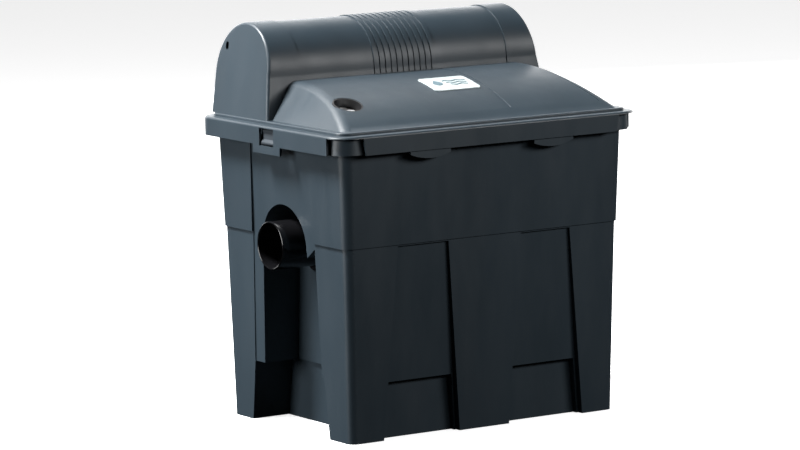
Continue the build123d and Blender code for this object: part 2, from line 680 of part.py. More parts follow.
with BuildPart() as inlet_riser:
    with BuildLine() as riser_path:
        FilletPolyline(
            (158, 0, PORT_HEIGHT),
            (UVC_INLET_X, 0, PORT_HEIGHT),
            (UVC_INLET_X, 0, 396),
            (UVC_INLET_X, UVC_Y, 396),
            (UVC_INLET_X, UVC_Y, PORT_SOCKET_BOTTOM + 14),
            radius=17.5,
        )
    with BuildSketch(RIGHT_PORT.offset(158)):
        Circle(HOSE_RADIUS)
        Circle(HOSE_RADIUS - 2.5, mode=Mode.SUBTRACT)
    sweep(path=riser_path.wire())
    add(ring(RIGHT_PORT, 157.9, 160, 25, HOSE_RADIUS - 2.5))
    add(ring(RIGHT_PORT, 160, 171.5, 25, HOSE_RADIUS + 3.1))
save(inlet_riser.part, "inlet_riser")

# ---- sludge drain -----------------------------------------------------------------------------
foot_gasket = CHANNEL_FOOT_FLOOR + GASKET
with BuildPart() as drain_spout:
    add(ring(DRAIN_PORT, 164, 228, DRAIN_RADIUS, DRAIN_RADIUS - 3))
    add(ring(DRAIN_PORT, foot_gasket, foot_gasket + 4, 35, DRAIN_RADIUS - 1))
    for side in (-1, 1):
        with Locations((216, side * (DRAIN_RADIUS + 0.6), DRAIN_HEIGHT)):
            Box(6, 3.2, 8)
save(drain_spout.part, "drain_spout")
save(ring(DRAIN_PORT, CHANNEL_FOOT_FLOOR, foot_gasket, 34, DRAIN_RADIUS + 0.1), "drain_gasket")
foot_wall_inside = CHANNEL_FOOT_FLOOR - TUB_WALL
save(nut(DRAIN_PORT, 166, foot_wall_inside, 36, DRAIN_RADIUS + 0.1), "drain_locknut")

with BuildPart() as drain_cap:
    add(nut(DRAIN_PORT, 206, 236, 34, DRAIN_RADIUS + 2.8))
    add(ring(DRAIN_PORT, 232, 236, 29, 0.001))
    with Locations((240, 0, DRAIN_HEIGHT)):
        Box(10, 52, 8)
    fillet(drain_cap.edges().group_by(Axis.X)[-1], 1.5)
save(drain_cap.part, "drain_cap")
with BuildPart() as drain_cap_seal:
    with Locations(Location((230.2, 0, DRAIN_HEIGHT), (0, 90, 0))):
        Cylinder(DRAIN_RADIUS + 2.6, 3.6)
save(drain_cap_seal.part, "drain_cap_seal")

# ---- UVC clarifier ----------------------------------------------------------------------------
UVC_AXIS = Plane(origin=(0, UVC_Y, UVC_Z), x_dir=(0, 1, 0), z_dir=(1, 0, 0))
carrier_bottom = CARRIER_TOP - CARRIER_THICKNESS
with BuildPart() as uvc_carrier:
    with BuildSketch(Plane.XY.offset(carrier_bottom)):
        with Locations((0, UVC_Y + 2)):
            RectangleRounded(500, 112, 8)
        with Locations((UVC_INLET_X, UVC_Y), (UVC_OUTLET_X, UVC_Y)):
            Circle(HOSE_RADIUS + 2, mode=Mode.SUBTRACT)
        with Locations((10, UVC_Y)):
            SlotOverall(120, 50, mode=Mode.SUBTRACT)
    extrude(amount=CARRIER_THICKNESS)
save(uvc_carrier.part, "uvc_carrier")

with BuildPart() as uvc_housing:
    add(ring(UVC_AXIS, UVC_LEFT, UVC_RIGHT, UVC_RADIUS, UVC_RADIUS - 3.5))
    add(ring(UVC_AXIS, UVC_LEFT, UVC_LEFT + 4, UVC_RADIUS, 0.001))
    fillet(uvc_housing.edges().group_by(Axis.X)[0], 3)
    add(ring(UVC_AXIS, UVC_RIGHT - 8, UVC_RIGHT, 46, UVC_RADIUS - 1))
    for x in (UVC_INLET_X, UVC_OUTLET_X):
        with BuildPart(mode=Mode.PRIVATE) as stub:
            with Locations((x, UVC_Y, PORT_SOCKET_BOTTOM)):
                Cylinder(HOSE_RADIUS + 4, 40, align=(Align.CENTER, Align.CENTER, Align.MIN))
            with Locations(Location((0, UVC_Y, UVC_Z), (0, 90, 0))):
                Cylinder(UVC_RADIUS - 1, RIM_LENGTH, mode=Mode.SUBTRACT)
        add(stub.part)
        with Locations((x, UVC_Y, PORT_SOCKET_BOTTOM)):
            low = (Align.CENTER, Align.CENTER, Align.MIN)
            Cylinder(HOSE_RADIUS + 0.1, 14, align=low, mode=Mode.SUBTRACT)
            Cylinder(HOSE_RADIUS - 2.5, 40, align=low, mode=Mode.SUBTRACT)
save(uvc_housing.part, "uvc_housing")

with BuildPart() as uvc_clamps:
    for x in (-150, 95):
        with BuildPart(mode=Mode.PRIVATE) as clamp:
            with BuildSketch(Plane.YZ.offset(x - 10)):
                with Locations((UVC_Y, UVC_Z)):
                    Circle(UVC_RADIUS + 3.5)
                with Locations((UVC_Y, (CARRIER_TOP + UVC_Z) / 2)):
                    Rectangle(70, UVC_Z - CARRIER_TOP)
                with Locations((UVC_Y, UVC_Z)):
                    Circle(UVC_RADIUS + 0.05, mode=Mode.SUBTRACT)
            extrude(amount=20)
        add(clamp.part)
save(uvc_clamps.part, "uvc_clamps")

save(ring(UVC_AXIS, 180, UVC_RIGHT, UVC_RADIUS - 3.6, 14.1), "sleeve_holder")
save(ring(UVC_AXIS, UVC_RIGHT, 192.5, 30, 12.1), "sleeve_seal")
with BuildPart() as quartz_sleeve:
    add(ring(UVC_AXIS, -160, UVC_RIGHT, 14, 12.2))
    add(ring(UVC_AXIS, -162, -160, 14, 0.001))
    fillet(quartz_sleeve.edges().group_by(Axis.X)[0], 1.5)
save(quartz_sleeve.part, "quartz_sleeve")
with BuildPart() as uvc_lamp:
    with Locations(Location((10, UVC_Y, UVC_Z), (0, 90, 0))):
        Cylinder(8, 316)
    for x in (-150, 165):
        with Locations(Location((x, UVC_Y, UVC_Z), (0, 90, 0))):
            Cylinder(9.5, 10)
save(uvc_lamp.part, "uvc_lamp")
with BuildPart() as lamp_socket:
    with Locations(Location((170, UVC_Y, UVC_Z), (0, 90, 0))):
        Cylinder(11.8, 26, align=(Align.CENTER, Align.CENTER, Align.MIN))
save(lamp_socket.part, "lamp_socket")

with BuildPart() as lock_ring:
    add(nut(UVC_AXIS, 180, 196, 53, 46.1))
    add(ring(UVC_AXIS, 178, 181, 49, UVC_RADIUS + 0.1))
save(lock_ring.part, "lock_ring")

with BuildPart() as ballast_head:
    add(ring(UVC_AXIS, 192.5, 196, 45.9, 12))
    add(ring(UVC_AXIS, 196, 224, 43, 38))
    add(ring(UVC_AXIS, 221, 224, 43, 0.001))
    with Locations((196, UVC_Y, UVC_Z)):
        Box(0.5, 20, 20, align=(Align.MIN, Align.CENTER, Align.CENTER))
    chamfer(ballast_head.edges().group_by(Axis.X)[-1], 2)
save(ballast_head.part, "ballast_head")
with BuildPart() as ballast_board:
    with Locations((209, UVC_Y, UVC_Z)):
        Box(24, 52, 1.6)
        with Locations((2, -12, 6.8)):
            Box(14, 18, 12)
        with Locations((2, 12, 5.8)):
            Cylinder(6, 10)
save(ballast_board.part, "ballast_board")
with BuildPart() as cable_gland:
    with Locations(Location((224, UVC_Y, UVC_Z - 24), (0, 90, 0))):
        Cylinder(8, 4, align=(Align.CENTER, Align.CENTER, Align.MIN))
        Cylinder(5.5, 7, align=(Align.CENTER, Align.CENTER, Align.MIN))
        Cylinder(2.5, 20, align=(Align.CENTER, Align.CENTER, Align.MIN), mode=Mode.SUBTRACT)
save(cable_gland.part, "cable_gland")

with BuildPart() as downpipe:
    with Locations((UVC_OUTLET_X, UVC_Y, TRAY_BOTTOM + 12)):
        pipe_length = PORT_SOCKET_BOTTOM + 14 - TRAY_BOTTOM - 12
        low = (Align.CENTER, Align.CENTER, Align.MIN)
        Cylinder(HOSE_RADIUS, pipe_length, align=low)
        Cylinder(HOSE_RADIUS - 2.5, pipe_length, align=low, mode=Mode.SUBTRACT)
    chamfer(downpipe.edges().group_by(Axis.Z)[0], 1)
save(downpipe.part, "downpipe")

# ---- filter chamber ---------------------------------------------------------------------------
with BuildPart() as base_grid:
    with BuildSketch(Plane.XY.offset(GRID_TOP - 4)):
        with Locations((6, 0)):
            RectangleRounded(306, 288, 6)
        with Locations((6, 0)):
            with GridLocations(15, 62, 19, 4):
                SlotOverall(50, 7, rotation=90, mode=Mode.SUBTRACT)
    extrude(amount=4)
    with BuildSketch(Plane.XY.offset(TUB_WALL)):
        with Locations((6, 0)):
            with GridLocations(120, 124, 3, 3):
                Circle(7)
                Circle(4.5, mode=Mode.SUBTRACT)
    extrude(amount=GRID_TOP - 4 - TUB_WALL)
save(base_grid.part, "base_grid")

with BuildPart() as partition:
    with BuildSketch(Plane.YZ.offset(-152)):
        with BuildLine():
            Polyline(
                (144, 48), (144, 93), (155.5, 94), (164.5, PANEL_TOP), (171, 305), (174, 400),
                (-174, 400), (-171, 305), (-164.5, PANEL_TOP), (-155.5, 94), (-144, 93), (-144, 48),
                close=True,
            )
        make_face()
        for y in (-110, 0, 110):
            with Locations((y, (48 + TUB_WALL) / 2)):
                Rectangle(16, 48 - TUB_WALL)
    extrude(amount=4)
save(partition.part, "partition")

with BuildPart() as tray:
    with BuildSketch(Plane.XY.offset(TRAY_BOTTOM)):
        with Locations((FOAM_CENTRE_X, 0)):
            RectangleRounded(256, 264, 8)
    extrude(amount=TRAY_TOP - TRAY_BOTTOM)
    offset(amount=-3, openings=tray.faces().sort_by(Axis.Z)[-1])
    with BuildSketch(Plane.XY.offset(TRAY_BOTTOM)):
        with Locations((FOAM_CENTRE_X, 0)):
            with GridLocations(22, 24, 11, 10):
                Circle(3)
    extrude(amount=4, mode=Mode.SUBTRACT)
    for side in (-1, 1):
        with Locations(*[(x, side * 136, GRID_TOP) for x in (-120, 86)]):
            leg_height = TRAY_TOP - GRID_TOP
            Box(14, 7, leg_height, align=(Align.CENTER, Align.CENTER, Align.MIN))
        with Locations(*[(x, side * 132, TRAY_BOTTOM) for x in (-120, 86)]):
            Box(14, 4, 10, align=(Align.CENTER, Align.CENTER, Align.MIN))
save(tray.part, "distributor_tray")

for index in range(FOAM_COUNT):
    x = FOAM_CENTRE_X + (index - (FOAM_COUNT - 1) / 2) * FOAM_PITCH
    with BuildPart() as foam:
        with Locations((x, 0, (FOAM_BOTTOM + FOAM_TOP) / 2)):
            Box(FOAM_THICKNESS, FOAM_WIDTH, FOAM_TOP - FOAM_BOTTOM)
        fillet(foam.edges().filter_by(Axis.Z), 4)
        with Locations((x, -FOAM_ROD_Y, 180), (x, FOAM_ROD_Y, 180)):
            Cylinder(FOAM_ROD_RADIUS + 0.2, 400, mode=Mode.SUBTRACT)
    save(foam.part, f"foam_{index + 1}")
    with BuildPart() as holder:
        with BuildSketch(Plane.XY.offset(GRID_TOP)):
            with Locations((x, 0)):
                RectangleRounded(46, 250, 6)
                with GridLocations(22, 30, 2, 8):
                    SlotOverall(22, 12, rotation=90, mode=Mode.SUBTRACT)
                with Locations((0, -FOAM_ROD_Y), (0, FOAM_ROD_Y)):
                    Circle(8)
        extrude(amount=FOAM_BOTTOM - GRID_TOP)
        with BuildLine():
            FilletPolyline(
                (x, -FOAM_ROD_Y, GRID_TOP + 1),
                (x, -FOAM_ROD_Y, 338),
                (x, FOAM_ROD_Y, 338),
                (x, FOAM_ROD_Y, GRID_TOP + 1),
                radius=12,
            )
        with BuildSketch(Plane.XY.offset(GRID_TOP + 1)):
            with Locations((x, -FOAM_ROD_Y)):
                Circle(FOAM_ROD_RADIUS)
        sweep()
    save(holder.part, f"foam_holder_{index + 1}")
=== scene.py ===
"""A pond filter on a pale studio floor.

A moulded tub with pipe ports stands under a domed lift-off lid, whose rear hump covers a clarifier.
"""

import json
import logging
import math
from dataclasses import dataclass, field
from enum import Enum
from typing import Iterable, Optional, Sequence

import bmesh
import bpy
from mathutils import Matrix, Vector

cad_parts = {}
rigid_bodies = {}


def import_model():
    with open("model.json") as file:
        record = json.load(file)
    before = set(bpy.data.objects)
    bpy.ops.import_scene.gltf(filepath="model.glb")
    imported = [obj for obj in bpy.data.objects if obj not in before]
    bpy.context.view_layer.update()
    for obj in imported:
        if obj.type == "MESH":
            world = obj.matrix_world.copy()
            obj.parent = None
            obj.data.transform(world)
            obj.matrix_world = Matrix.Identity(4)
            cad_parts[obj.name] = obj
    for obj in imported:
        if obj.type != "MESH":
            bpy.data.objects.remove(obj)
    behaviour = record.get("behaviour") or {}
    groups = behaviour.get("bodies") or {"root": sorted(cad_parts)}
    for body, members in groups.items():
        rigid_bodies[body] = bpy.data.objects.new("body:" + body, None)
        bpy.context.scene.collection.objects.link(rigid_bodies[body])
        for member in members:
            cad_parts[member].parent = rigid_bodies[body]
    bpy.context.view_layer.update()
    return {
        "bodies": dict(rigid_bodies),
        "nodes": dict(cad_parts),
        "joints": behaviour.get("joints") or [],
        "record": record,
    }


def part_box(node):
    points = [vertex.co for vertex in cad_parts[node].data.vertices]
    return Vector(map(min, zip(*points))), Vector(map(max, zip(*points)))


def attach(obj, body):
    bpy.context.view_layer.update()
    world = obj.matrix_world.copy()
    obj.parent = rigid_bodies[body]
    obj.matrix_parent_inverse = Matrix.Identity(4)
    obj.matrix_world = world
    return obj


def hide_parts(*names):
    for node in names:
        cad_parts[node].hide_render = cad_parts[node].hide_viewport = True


LOG = logging.getLogger("pond_filter")
Colour = tuple[float, float, float]


class Rounding(Enum):
    """How far a moulded or machined edge is broken, in metres."""

    NONE = 0.0
    FINE = 0.0004
    SMALL = 0.0008
    MOULDED = 0.002


# ---- materials ------------------------------------------------------------------------------


class Graph:
    """A material's node tree, with short ways to add and join nodes."""

    def __init__(self, name: str) -> None:
        """Starts a material that holds one Principled shader.

        Args:
            name: the material's name.
        """
        self.material = bpy.data.materials.new(name)
        self.material.use_nodes = True
        self.nodes = self.material.node_tree.nodes
        self.links = self.material.node_tree.links
        self.shader = self.nodes["Principled BSDF"]
        self.coordinates = self.nodes.new("ShaderNodeTexCoord").outputs["Object"]

    def plain(self, **values: object) -> None:
        """Sets sockets of the shader that are the same all over the surface.

        Args:
            values: socket names with underscores for spaces, and their values.
        """
        for key, value in values.items():
            self.shader.inputs[key.replace("_", " ")].default_value = value

    def stretched(self, scale: Sequence[float]) -> bpy.types.NodeSocket:
        """Object coordinates multiplied along each axis.

        Args:
            scale: the factor for X, Y and Z.

        Returns:
            The socket with the stretched coordinates.
        """
        mapping = self.nodes.new("ShaderNodeMapping")
        mapping.inputs["Scale"].default_value = scale
        self.links.new(self.coordinates, mapping.inputs["Vector"])
        return mapping.outputs["Vector"]

    def noise(
        self,
        scale: float,
        detail: float = 4.0,
        rough: float = 0.55,
        stretch: Sequence[float] = (1.0, 1.0, 1.0),
    ) -> bpy.types.NodeSocket:
        """A grey noise in object space.

        Args:
            scale: cells for each metre.
            detail: octaves.
            rough: how much the finer octaves count.
            stretch: factors along each axis.

        Returns:
            The noise's factor socket.
        """
        node = self.nodes.new("ShaderNodeTexNoise")
        node.inputs["Scale"].default_value = scale
        node.inputs["Detail"].default_value = detail
        node.inputs["Roughness"].default_value = rough
        self.links.new(self.stretched(stretch), node.inputs["Vector"])
        return node.outputs["Fac"]

    def cells(self, scale: float, feature: str = "F1") -> bpy.types.NodeSocket:
        """A cell pattern in object space.

        Args:
            scale: cells for each metre.
            feature: which distance the pattern measures.

        Returns:
            The distance socket.
        """
        node = self.nodes.new("ShaderNodeTexVoronoi")
        node.feature = feature
        node.inputs["Scale"].default_value = scale
        self.links.new(self.coordinates, node.inputs["Vector"])
        return node.outputs["Distance"]

    def remap(
        self,
        source: bpy.types.NodeSocket,
        low: float,
        high: float,
        start: float = 0.3,
        stop: float = 0.7,
    ) -> bpy.types.NodeSocket:
        """Maps the stretch start..stop of a grey pattern to low..high.

        Args:
            source: the pattern.
            low: value at start.
            high: value at stop.
            start: where the stretch begins.
            stop: where it ends.

        Returns:
            The remapped socket.
        """
        node = self.nodes.new("ShaderNodeMapRange")
        node.inputs["From Min"].default_value = start
        node.inputs["From Max"].default_value = stop
        node.inputs["To Min"].default_value = low
        node.inputs["To Max"].default_value = high
        self.links.new(source, node.inputs["Value"])
        return node.outputs["Result"]

    def blend(
        self, factor: bpy.types.NodeSocket, first: Colour, second: Colour
    ) -> bpy.types.NodeSocket:
        """Mixes two colours by a pattern.

        Args:
            factor: the pattern, 0 for the first colour and 1 for the second.
            first: one colour.
            second: the other.

        Returns:
            The mixed colour socket.
        """
        node = self.nodes.new("ShaderNodeMix")
        node.data_type = "RGBA"
        node.inputs["A"].default_value = (*first, 1.0)
        node.inputs["B"].default_value = (*second, 1.0)
        self.links.new(factor, node.inputs["Factor"])
        return node.outputs["Result"]

    def relief(
        self, heights: Iterable[tuple[bpy.types.NodeSocket, float, float]]
    ) -> None:
        """Stacks bump layers under the shader.

        Args:
            heights: patterns with their strength and their depth in metres.
        """
        previous: Optional[bpy.types.NodeSocket] = None
        for source, strength, depth in heights:
            bump = self.nodes.new("ShaderNodeBump")
            bump.inputs["Strength"].default_value = strength
            bump.inputs["Distance"].default_value = depth
            self.links.new(source, bump.inputs["Height"])
            if previous is not None:
                self.links.new(previous, bump.inputs["Normal"])
            previous = bump.outputs["Normal"]
        if previous is not None:
            self.links.new(previous, self.shader.inputs["Normal"])

    def drive(self, socket: str, source: bpy.types.NodeSocket) -> None:
        """Joins a pattern to one of the shader's sockets."""
        self.links.new(source, self.shader.inputs[socket])


@dataclass(frozen=True)
class MouldedPlastic:
    """Injection-moulded plastic with a fine spark-eroded grain and faint flow marks."""

    name: str
    colour: Colour
    rough: tuple[float, float] = (0.36, 0.46)
    variation: float = 0.12
    grain: float = 1400.0
    grain_strength: float = 0.12
    flow: Sequence[float] = (1.0, 1.0, 0.25)
    specular: float = 0.5
    flow_cells: float = 7.0
    smear_cells: float = 24.0
    sink_cells: float = 9.0
    sink_strength: float = 0.12
    sink_depth: float = 0.004
    grain_depth: float = 0.0002

    def build(self) -> bpy.types.Material:
        """Makes the material.

        Returns:
            The finished material.
        """
        graph = Graph(self.name)
        lighter = tuple(min(1.0, c * (1 + self.variation)) for c in self.colour)
        darker = tuple(c * (1 - self.variation) for c in self.colour)
        flow_marks = graph.noise(self.flow_cells, 5.0, 0.5, self.flow)
        graph.drive("Base Color", graph.blend(graph.remap(flow_marks, 0, 1), darker, lighter))
        smears = graph.noise(self.smear_cells, 6.0, 0.6, self.flow)
        graph.drive("Roughness", graph.remap(smears, *self.rough))
        graph.plain(Specular_IOR_Level=self.specular)
        sink = graph.noise(self.sink_cells, 2.0)
        skin = graph.noise(self.grain, 2.0)
        graph.relief([
            (sink, self.sink_strength, self.sink_depth),
            (skin, self.grain_strength, self.grain_depth),
        ])
        return graph.material


@dataclass(frozen=True)
class PolishedPlastic:
    """Glossy extruded or moulded plastic with faint drawing lines along one axis."""

    name: str
    colour: Colour
    rough: tuple[float, float] = (0.1, 0.2)
    draw: Sequence[float] = (0.1, 1.0, 1.0)
    coat: float = 0.0
    line_cells: float = 260.0
    line_depth: float = 0.0003
    haze_cells: float = 30.0

    def build(self) -> bpy.types.Material:
        """Makes the material.

        Returns:
            The finished material.
        """
        graph = Graph(self.name)
        lines = graph.noise(self.line_cells, 3.0, 0.5, self.draw)
        haze = graph.noise(self.haze_cells, 4.0)
        lighter = tuple(min(1.0, c * 1.15 + 0.001) for c in self.colour)
        graph.drive("Base Color", graph.blend(graph.remap(haze, 0, 1), self.colour, lighter))
        graph.drive("Roughness", graph.remap(haze, *self.rough))
        graph.plain(Coat_Weight=self.coat)
        graph.relief([(lines, 0.1, self.line_depth)])
        return graph.material


@dataclass(frozen=True)
class Elastomer:
    """Matt black rubber with a dusty bloom."""

    name: str
    colour: Colour = (0.012, 0.012, 0.013)
    dust: float = 0.02
    rough: tuple[float, float] = (0.55, 0.8)
    bloom_cells: float = 60.0
    skin_cells: float = 1800.0
    skin_depth: float = 0.0002

    def build(self) -> bpy.types.Material:
        """Makes the material.

        Returns:
            The finished material.
        """
        graph = Graph(self.name)
        bloom = graph.noise(self.bloom_cells, 6.0, 0.65)
        dusty = tuple(c + self.dust for c in self.colour)
        settled = graph.remap(bloom, 0, 1, 0.4, 0.8)
        graph.drive("Base Color", graph.blend(settled, self.colour, dusty))
        graph.drive("Roughness", graph.remap(bloom, *self.rough))
        graph.relief([(graph.noise(self.skin_cells, 2.0), 0.2, self.skin_depth)])
        return graph.material


@dataclass(frozen=True)
class TurnedSteel:
    """Stainless steel with fine turning marks."""

    name: str
    colour: Colour = (0.58, 0.58, 0.6)
    wear: float = 0.8
    rough: tuple[float, float] = (0.22, 0.4)
    turning: Sequence[float] = (1.0, 1.0, 8.0)
    mark_cells: float = 900.0
    mark_depth: float = 0.0001

    def build(self) -> bpy.types.Material:
        """Makes the material.

        Returns:
            The finished material.
        """
        graph = Graph(self.name)
        marks = graph.noise(self.mark_cells, 3.0, 0.5, self.turning)
        worn = tuple(c * self.wear for c in self.colour)
        graph.drive("Base Color", graph.blend(graph.remap(marks, 0, 1), worn, self.colour))
        graph.drive("Roughness", graph.remap(marks, *self.rough))
        graph.plain(Metallic=1.0)
        graph.relief([(marks, 0.15, self.mark_depth)])
        return graph.material


@dataclass(frozen=True)
class ClearGlass:
    """Quartz or lamp glass with faint haze."""

    name: str
    colour: Colour
    see_through: float = 1.0
    rough: tuple[float, float] = (0.02, 0.07)
    haze_cells: float = 45.0
    milk: float = 0.93
    refraction: float = 1.46

    def build(self) -> bpy.types.Material:
        """Makes the material.

        Returns:
            The finished material.
        """
        graph = Graph(self.name)
        haze = graph.noise(self.haze_cells, 4.0)
        milky = tuple(c * self.milk for c in self.colour)
        graph.drive("Base Color", graph.blend(graph.remap(haze, 0, 1), self.colour, milky))
        graph.drive("Roughness", graph.remap(haze, *self.rough))
        graph.plain(Transmission_Weight=self.see_through, IOR=self.refraction)
        return graph.material


@dataclass(frozen=True)
class OpenCellFoam:
    """Reticulated filter foam: a coloured web round pores whose dark colour is painted shade."""

    name: str
    web: Colour
    pore_shade: Colour
    pores_per_metre: float
    pore_edge: tuple[float, float] = (0.06, 0.28)
    web_height: float = 0.3
    pore_depth: float = 0.0015
    patch_cells: float = 18.0

    def build(self) -> bpy.types.Material:
        """Makes the material.

        Returns:
            The finished material.
        """
        graph = Graph(self.name)
        walls = graph.cells(self.pores_per_metre, "DISTANCE_TO_EDGE")
        pore_shade_mask = graph.remap(walls, 0.0, 1.0, *self.pore_edge)
        patches = graph.noise(self.patch_cells, 4.0)
        tired = tuple(c * 0.75 + 0.01 for c in self.web)
        web = graph.blend(graph.remap(patches, 0, 1), self.web, tired)
        # Painted shade: the pores get a dark colour that stands for the shade inside the foam's
        # holes.
        mix = graph.nodes.new("ShaderNodeMix")
        mix.data_type = "RGBA"
        mix.inputs["B"].default_value = (*self.pore_shade, 1.0)
        graph.links.new(pore_shade_mask, mix.inputs["Factor"])
        graph.links.new(web, mix.inputs["A"])
        graph.drive("Base Color", mix.outputs["Result"])
        graph.plain(Roughness=0.95, Sheen_Weight=0.15)
        threads = graph.remap(walls, 1.0, 0.0, 0.0, self.web_height)
        graph.relief([(threads, 0.9, self.pore_depth)])
        return graph.material


@dataclass(frozen=True)
class CircuitBoard:
    """Green solder mask with a weave and lighter tracks."""

    name: str
    mask: Colour = (0.01, 0.11, 0.035)
    mask_over_copper: Colour = (0.012, 0.13, 0.045)
    track: Colour = (0.09, 0.3, 0.1)
    track_cells: float = 160.0
    rough: tuple[float, float] = (0.25, 0.4)
    sheen_cells: float = 400.0
    weave_cells: float = 1500.0
    weave_depth: float = 0.0001

    def build(self) -> bpy.types.Material:
        """Makes the material.

        Returns:
            The finished material.
        """
        graph = Graph(self.name)
        tracks = graph.nodes.new("ShaderNodeTexBrick")
        tracks.inputs["Scale"].default_value = self.track_cells
        tracks.inputs["Color1"].default_value = (*self.mask, 1.0)
        tracks.inputs["Color2"].default_value = (*self.mask_over_copper, 1.0)
        tracks.inputs["Mortar"].default_value = (*self.track, 1.0)
        graph.links.new(graph.coordinates, tracks.inputs["Vector"])
        graph.drive("Base Color", tracks.outputs["Color"])
        graph.drive("Roughness", graph.remap(graph.noise(self.sheen_cells), *self.rough))
        graph.relief([(graph.noise(self.weave_cells, 1.0), 0.15, self.weave_depth)])
        return graph.material


@dataclass(frozen=True)
class StudioPaint:
    """The pale studio floor."""

    name: str
    colour: Colour = (0.93, 0.93, 0.935)
    glow: float = 0.8
    cloud_cells: float = 2.0
    dulling: float = 0.985

    def build(self) -> bpy.types.Material:
        """Makes the material.

        Returns:
            The finished material.
        """
        graph = Graph(self.name)
        cloud = graph.noise(self.cloud_cells, 3.0)
        duller = tuple(c * self.dulling for c in self.colour)
        graph.drive("Base Color", graph.blend(graph.remap(cloud, 0, 1), self.colour, duller))
        graph.plain(Roughness=0.8, Specular_IOR_Level=0.1)
        graph.plain(Emission_Color=(1.0, 1.0, 1.0, 1.0), Emission_Strength=self.glow)
        return graph.material


CHARCOAL: Colour = (0.027, 0.041, 0.053)
BLUE_WEB: Colour = (0.03, 0.12, 0.4)
# Painted shade in the blue foam's pores.
BLUE_PORE_SHADE: Colour = (0.003, 0.01, 0.04)
RED_WEB: Colour = (0.5, 0.05, 0.03)
# Painted shade in the red foam's pores.
RED_PORE_SHADE: Colour = (0.06, 0.004, 0.003)


@dataclass
class Palette:
    """Every finish of the filter, made once."""

    shell: MouldedPlastic = MouldedPlastic("shell_charcoal", CHARCOAL)
    cover: MouldedPlastic = MouldedPlastic("cover_charcoal", CHARCOAL, (0.38, 0.47), 0.1)
    snap: MouldedPlastic = MouldedPlastic("snap_charcoal", (0.05, 0.06, 0.07), (0.26, 0.34))
    black: MouldedPlastic = MouldedPlastic("fitting_black", (0.012, 0.012, 0.013), (0.3, 0.42))
    grey: MouldedPlastic = MouldedPlastic("insert_grey", (0.1, 0.105, 0.11), (0.4, 0.52))
    pipe: PolishedPlastic = PolishedPlastic("pipe_black", (0.006, 0.006, 0.007))
    white: PolishedPlastic = PolishedPlastic("float_white", (0.78, 0.78, 0.78), (0.25, 0.35))
    plate: PolishedPlastic = PolishedPlastic(
        "plate_white", (0.52, 0.58, 0.58), (0.22, 0.32), coat=0.4
    )
    print_blue: PolishedPlastic = PolishedPlastic("print_blue", (0.1, 0.16, 0.19), (0.3, 0.4))
    ceramic: PolishedPlastic = PolishedPlastic("socket_ceramic", (0.68, 0.66, 0.6), (0.3, 0.4))
    rubber: Elastomer = Elastomer("seal_rubber_black")
    steel: TurnedSteel = TurnedSteel("screw_steel")
    quartz: ClearGlass = ClearGlass("quartz_clear", (0.95, 0.98, 1.0))
    lamp: ClearGlass = ClearGlass("lamp_glass_clear", (0.85, 0.88, 1.0), 0.7, (0.05, 0.12))
    coarse: OpenCellFoam = OpenCellFoam("foam_coarse_blue", BLUE_WEB, BLUE_PORE_SHADE, 330)
    fine: OpenCellFoam = OpenCellFoam("foam_fine_red", RED_WEB, RED_PORE_SHADE, 520)
    board: CircuitBoard = CircuitBoard("board_green")
    made: dict[str, bpy.types.Material] = field(default_factory=dict)

    def get(self, finish: str) -> bpy.types.Material:
        """The material of a finish, made on first use.

        Args:
            finish: the name of one of this palette's finishes.

        Returns:
            The material.
        """
        if finish not in self.made:
            self.made[finish] = getattr(self, finish).build()
        return self.made[finish]


# ---- meshes ---------------------------------------------------------------------------------


def new_piece(name: str, mesh: bmesh.types.BMesh, material: bpy.types.Material) -> bpy.types.Object:
    """Turns a bmesh into a smooth-shaded object at the origin.

    Args:
        name: the piece's name.
        mesh: its shape, which is freed.
        material: its finish.

    Returns:
        The new object.
    """
    bmesh.ops.recalc_face_normals(mesh, faces=mesh.faces)
    data = bpy.data.meshes.new(name)
    mesh.to_mesh(data)
    mesh.free()
    data.materials.append(material)
    data.shade_smooth()
    piece = bpy.data.objects.new(name, data)
    bpy.context.scene.collection.objects.link(piece)
    return piece


WELD_GAP = 0.00001
BEVEL_SEGMENTS = 2
SHARP_FROM = 32.0


def round_edges(piece: bpy.types.Object, rounding: Rounding, weld: bool) -> None:
    """Breaks a piece's edges with modifiers, where they turn by more than SHARP_FROM degrees.

    Args:
        piece: the object.
        rounding: how far its edges are broken.
        weld: whether loose triangles are joined first.
    """
    if weld:
        joined = piece.modifiers.new("Join", "WELD")
        joined.merge_threshold = WELD_GAP
    if rounding is not Rounding.NONE:
        bevel = piece.modifiers.new("Edges", "BEVEL")
        bevel.width = rounding.value
        bevel.segments = BEVEL_SEGMENTS
        bevel.limit_method = "ANGLE"
        bevel.angle_limit = math.radians(SHARP_FROM)
        bevel.harden_normals = False
    shade = piece.modifiers.new("Shade", "WEIGHTED_NORMAL")
    shade.keep_sharp = False


@dataclass
class CadPieces:
    """A group of carried-over nodes that share a finish and an edge rounding."""

    nodes: tuple[str, ...]
    finish: str
    rounding: Rounding = Rounding.SMALL

    def dress(self, frame: dict, palette: Palette) -> None:
        """Gives each node its material and broken edges.

        Args:
            frame: the loaded frame.
            palette: the finishes.
        """
        for name in self.nodes:
            piece = frame["nodes"][name]
            piece.data.materials.clear()
            piece.data.materials.append(palette.get(self.finish))
            if self.rounding is not Rounding.NONE:
                round_edges(piece, self.rounding, weld=True)
            LOG.info("dressed %s", name)


